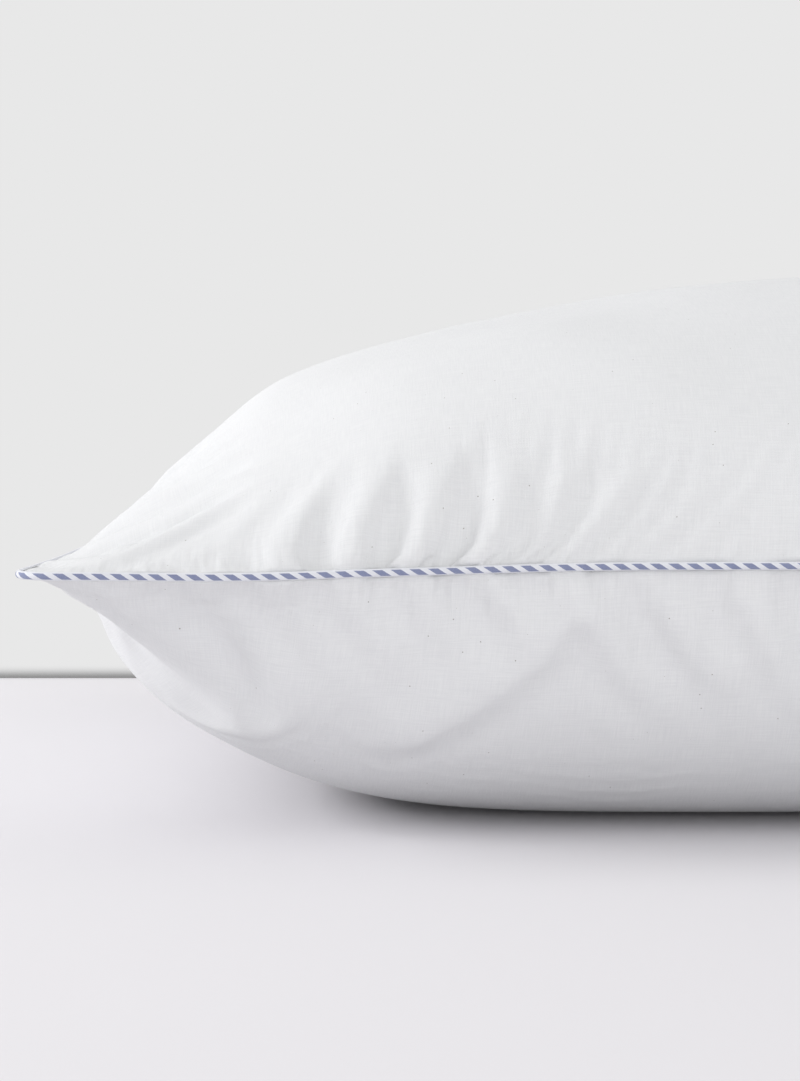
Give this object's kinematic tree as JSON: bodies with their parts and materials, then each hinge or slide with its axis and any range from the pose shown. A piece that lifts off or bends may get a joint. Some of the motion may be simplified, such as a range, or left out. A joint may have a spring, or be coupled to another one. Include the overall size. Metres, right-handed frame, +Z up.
{
  "type": "bed pillow",
  "caption": "Plump rectangular bed pillow: two smooth fabric panels sewn over a thin striped piping, with a loose fill, a blank care label and a stitched closure.",
  "frame": {"origin": "middle of the bottom of the pillow's box, in the plane of the patch that it rests on", "axes": "+Z up through the crown; +X along the long side, towards the end with the closing stitches; +Y along the short side, towards the side with the care label"},
  "size_m": [0.6428, 0.4984, 0.187],
  "materials": {
    "cambric": "smooth white down-proof cotton cambric with a slight calendered sheen",
    "striped_bias_tape": "cotton bias tape with even diagonal stripes of soft blue and white",
    "filler_cord": "soft twisted cotton cord",
    "sewing_thread": "white spun polyester sewing thread",
    "fibre_fill": "loose white down or fine fibre filling",
    "label_satin": "blank white woven satin label tape"
  },
  "bodies": {
    "root": {"top_panel": "cambric", "bottom_panel": "cambric", "piping_cover": "striped_bias_tape", "piping_cord": "filler_cord", "seam_thread": "sewing_thread", "overlock_thread": "sewing_thread", "fibre_fill": "fibre_fill", "care_label": "label_satin", "closing_thread": "sewing_thread"}
  },
  "joints": []
}
